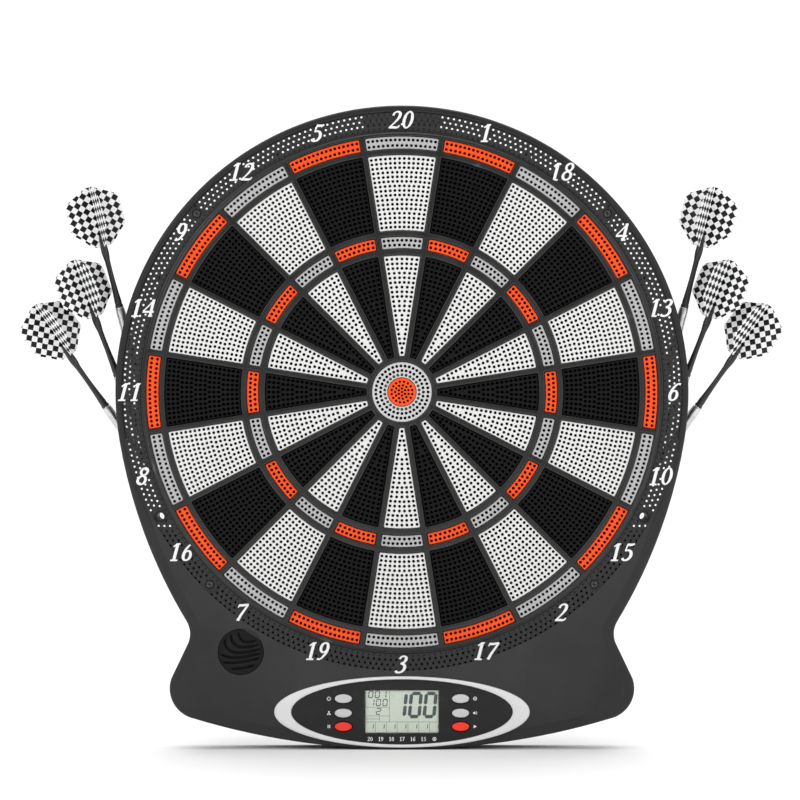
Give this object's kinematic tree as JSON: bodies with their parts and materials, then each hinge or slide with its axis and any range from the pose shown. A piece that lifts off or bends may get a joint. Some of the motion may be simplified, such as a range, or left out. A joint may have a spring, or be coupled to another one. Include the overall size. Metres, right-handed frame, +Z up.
{
  "type": "electronic dartboard",
  "caption": "Wall-hung electronic dartboard: sprung scoring segments in a spider, perforated number ring, display and button panel below, darts stowed in side holders.",
  "frame": {"origin": "where the axis of the bull meets the wall, on the face of the centre wall pad", "axes": "+Z up, +Y into the wall, so the playing face looks along -Y, and +X to the player's right"},
  "size_m": [0.5062, 0.0361, 0.429],
  "materials": {
    "housing_plastic": "fine satin texture, charcoal",
    "cover_plastic": "fine spark texture, black",
    "ring_plastic": "satin, black",
    "spider_plastic": "semi-gloss, dark grey",
    "segment_white": "satin, white",
    "segment_black": "satin, black",
    "segment_grey": "satin, light grey",
    "segment_orange": "satin, orange",
    "panel_black": "semi-gloss, black",
    "trim_grey": "satin, pale grey",
    "button_grey": "satin, pale grey",
    "button_red": "satin, red",
    "number_white": "moulded, white",
    "clear_lens": "clear acrylic",
    "display": "reflective liquid-crystal cell",
    "circuit_board": "solder mask",
    "silicone": "moulded silicone",
    "rubber": "moulded rubber",
    "polyester_film": "clear film with printed tracks",
    "hardboard": "pressed fibre board",
    "speaker_metal": "plated basket",
    "wire_insulation": "soft PVC",
    "battery_jacket": "printed jacket",
    "contact_metal": "nickel plated",
    "coated_steel": "black coating",
    "screw_steel": "zinc plated",
    "barrel_steel": "knurled, nickel plated",
    "shaft_black": "moulded nylon, black",
    "flight_film": "printed polyester, checked"
  },
  "bodies": {
    "board": {"front_housing": "housing_plastic", "rear_cover": "cover_plastic", "catch_ring": "ring_plastic", "spider": "spider_plastic", "rubber_mat": "rubber", "sensor_film": "polyester_film", "backing_board": "hardboard", "control_panel": "panel_black", "oval_trim": "trim_grey", "lcd_window": "clear_lens", "lcd_module": "display", "main_board": "circuit_board", "button_mat": "silicone", "ribbon_cable": "polyester_film", "speaker_grille": "cover_plastic", "speaker": "speaker_metal", "wires": "wire_insulation", "batteries": "battery_jacket", "battery_contacts": "contact_metal", "hanger_plate": "coated_steel", "dart_holder_left": "cover_plastic", "dart_holder_right": "cover_plastic", "housing_screws": "screw_steel", "ring_screws": "screw_steel", "wall_pads": "rubber"},
    "dart_left_1": {"dart_left_1": "barrel_steel"},
    "dart_left_2": {"dart_left_2": "barrel_steel"},
    "dart_left_3": {"dart_left_3": "barrel_steel"},
    "dart_right_1": {"dart_right_1": "barrel_steel"},
    "dart_right_2": {"dart_right_2": "barrel_steel"},
    "dart_right_3": {"dart_right_3": "barrel_steel"},
    "battery_door": {"battery_door": "cover_plastic"},
    "power_button": {"power_button": "button_grey"},
    "player_button": {"player_button": "button_grey"},
    "hold_button": {"hold_button": "button_red"},
    "game_button": {"game_button": "button_grey"},
    "sound_button": {"sound_button": "button_grey"},
    "start_button": {"start_button": "button_red"},
    "bull_inner": {"bull_inner": "segment_orange"},
    "bull_outer": {"bull_outer": "segment_grey"},
    "sector_20": {"sector_20": "segment_white"},
    "sector_1": {"sector_1": "segment_black"},
    "sector_18": {"sector_18": "segment_white"},
    "sector_4": {"sector_4": "segment_black"},
    "sector_13": {"sector_13": "segment_white"},
    "sector_6": {"sector_6": "segment_black"},
    "sector_10": {"sector_10": "segment_white"},
    "sector_15": {"sector_15": "segment_black"},
    "sector_2": {"sector_2": "segment_white"},
    "sector_17": {"sector_17": "segment_black"},
    "sector_3": {"sector_3": "segment_white"},
    "sector_19": {"sector_19": "segment_black"},
    "sector_7": {"sector_7": "segment_white"},
    "sector_16": {"sector_16": "segment_black"},
    "sector_8": {"sector_8": "segment_white"},
    "sector_11": {"sector_11": "segment_black"},
    "sector_14": {"sector_14": "segment_white"},
    "sector_9": {"sector_9": "segment_black"},
    "sector_12": {"sector_12": "segment_white"},
    "sector_5": {"sector_5": "segment_black"}
  },
  "joints": [
    {"name": "dart_left_1_pull", "type": "slide", "parent": "board", "child": "dart_left_1", "axis": [-0.2465, -0.0645, 0.967], "range_m": [0, 0.02]},
    {"name": "dart_left_2_pull", "type": "slide", "parent": "board", "child": "dart_left_2", "axis": [-0.358, -0.0454, 0.9326], "range_m": [0, 0.02]},
    {"name": "dart_left_3_pull", "type": "slide", "parent": "board", "child": "dart_left_3", "axis": [-0.571, -0.0941, 0.8155], "range_m": [0, 0.02]},
    {"name": "dart_right_1_pull", "type": "slide", "parent": "board", "child": "dart_right_1", "axis": [0.2465, -0.0645, 0.967], "range_m": [0, 0.02]},
    {"name": "dart_right_2_pull", "type": "slide", "parent": "board", "child": "dart_right_2", "axis": [0.358, -0.0454, 0.9326], "range_m": [0, 0.02]},
    {"name": "dart_right_3_pull", "type": "slide", "parent": "board", "child": "dart_right_3", "axis": [0.571, -0.0941, 0.8155], "range_m": [0, 0.02]},
    {"name": "battery_door_hinge", "type": "hinge", "parent": "board", "child": "battery_door", "pos_m": [0.0947, -0.0024, -0.1656], "axis": [1, 0, 0], "range_deg": [0, 95]},
    {"name": "power_press", "type": "slide", "parent": "board", "child": "power_button", "axis": [0, 1, 0], "range_m": [0, 0.001], "stiffness_N_per_m": 120, "springref_m": -0.001},
    {"name": "player_press", "type": "slide", "parent": "board", "child": "player_button", "axis": [0, 1, 0], "range_m": [0, 0.001], "stiffness_N_per_m": 120, "springref_m": -0.001},
    {"name": "hold_press", "type": "slide", "parent": "board", "child": "hold_button", "axis": [0, 1, 0], "range_m": [0, 0.001], "stiffness_N_per_m": 120, "springref_m": -0.001},
    {"name": "game_press", "type": "slide", "parent": "board", "child": "game_button", "axis": [0, 1, 0], "range_m": [0, 0.001], "stiffness_N_per_m": 120, "springref_m": -0.001},
    {"name": "sound_press", "type": "slide", "parent": "board", "child": "sound_button", "axis": [0, 1, 0], "range_m": [0, 0.001], "stiffness_N_per_m": 120, "springref_m": -0.001},
    {"name": "start_press", "type": "slide", "parent": "board", "child": "start_button", "axis": [0, 1, 0], "range_m": [0, 0.001], "stiffness_N_per_m": 120, "springref_m": -0.001},
    {"name": "bull_inner_press", "type": "slide", "parent": "board", "child": "bull_inner", "axis": [0, 1, 0], "range_m": [0, 0.0012], "stiffness_N_per_m": 400, "springref_m": -0.0005},
    {"name": "bull_outer_press", "type": "slide", "parent": "board", "child": "bull_outer", "axis": [0, 1, 0], "range_m": [0, 0.0012], "stiffness_N_per_m": 400, "springref_m": -0.0005},
    {"name": "sector_20_press", "type": "slide", "parent": "board", "child": "sector_20", "axis": [0, 1, 0], "range_m": [0, 0.0012], "stiffness_N_per_m": 900, "springref_m": -0.0005},
    {"name": "sector_1_press", "type": "slide", "parent": "board", "child": "sector_1", "axis": [0, 1, 0], "range_m": [0, 0.0012], "stiffness_N_per_m": 900, "springref_m": -0.0005},
    {"name": "sector_18_press", "type": "slide", "parent": "board", "child": "sector_18", "axis": [0, 1, 0], "range_m": [0, 0.0012], "stiffness_N_per_m": 900, "springref_m": -0.0005},
    {"name": "sector_4_press", "type": "slide", "parent": "board", "child": "sector_4", "axis": [0, 1, 0], "range_m": [0, 0.0012], "stiffness_N_per_m": 900, "springref_m": -0.0005},
    {"name": "sector_13_press", "type": "slide", "parent": "board", "child": "sector_13", "axis": [0, 1, 0], "range_m": [0, 0.0012], "stiffness_N_per_m": 900, "springref_m": -0.0005},
    {"name": "sector_6_press", "type": "slide", "parent": "board", "child": "sector_6", "axis": [0, 1, 0], "range_m": [0, 0.0012], "stiffness_N_per_m": 900, "springref_m": -0.0005},
    {"name": "sector_10_press", "type": "slide", "parent": "board", "child": "sector_10", "axis": [0, 1, 0], "range_m": [0, 0.0012], "stiffness_N_per_m": 900, "springref_m": -0.0005},
    {"name": "sector_15_press", "type": "slide", "parent": "board", "child": "sector_15", "axis": [0, 1, 0], "range_m": [0, 0.0012], "stiffness_N_per_m": 900, "springref_m": -0.0005},
    {"name": "sector_2_press", "type": "slide", "parent": "board", "child": "sector_2", "axis": [0, 1, 0], "range_m": [0, 0.0012], "stiffness_N_per_m": 900, "springref_m": -0.0005},
    {"name": "sector_17_press", "type": "slide", "parent": "board", "child": "sector_17", "axis": [0, 1, 0], "range_m": [0, 0.0012], "stiffness_N_per_m": 900, "springref_m": -0.0005},
    {"name": "sector_3_press", "type": "slide", "parent": "board", "child": "sector_3", "axis": [0, 1, 0], "range_m": [0, 0.0012], "stiffness_N_per_m": 900, "springref_m": -0.0005},
    {"name": "sector_19_press", "type": "slide", "parent": "board", "child": "sector_19", "axis": [0, 1, 0], "range_m": [0, 0.0012], "stiffness_N_per_m": 900, "springref_m": -0.0005},
    {"name": "sector_7_press", "type": "slide", "parent": "board", "child": "sector_7", "axis": [0, 1, 0], "range_m": [0, 0.0012], "stiffness_N_per_m": 900, "springref_m": -0.0005},
    {"name": "sector_16_press", "type": "slide", "parent": "board", "child": "sector_16", "axis": [0, 1, 0], "range_m": [0, 0.0012], "stiffness_N_per_m": 900, "springref_m": -0.0005},
    {"name": "sector_8_press", "type": "slide", "parent": "board", "child": "sector_8", "axis": [0, 1, 0], "range_m": [0, 0.0012], "stiffness_N_per_m": 900, "springref_m": -0.0005},
    {"name": "sector_11_press", "type": "slide", "parent": "board", "child": "sector_11", "axis": [0, 1, 0], "range_m": [0, 0.0012], "stiffness_N_per_m": 900, "springref_m": -0.0005},
    {"name": "sector_14_press", "type": "slide", "parent": "board", "child": "sector_14", "axis": [0, 1, 0], "range_m": [0, 0.0012], "stiffness_N_per_m": 900, "springref_m": -0.0005},
    {"name": "sector_9_press", "type": "slide", "parent": "board", "child": "sector_9", "axis": [0, 1, 0], "range_m": [0, 0.0012], "stiffness_N_per_m": 900, "springref_m": -0.0005},
    {"name": "sector_12_press", "type": "slide", "parent": "board", "child": "sector_12", "axis": [0, 1, 0], "range_m": [0, 0.0012], "stiffness_N_per_m": 900, "springref_m": -0.0005},
    {"name": "sector_5_press", "type": "slide", "parent": "board", "child": "sector_5", "axis": [0, 1, 0], "range_m": [0, 0.0012], "stiffness_N_per_m": 900, "springref_m": -0.0005}
  ]
}
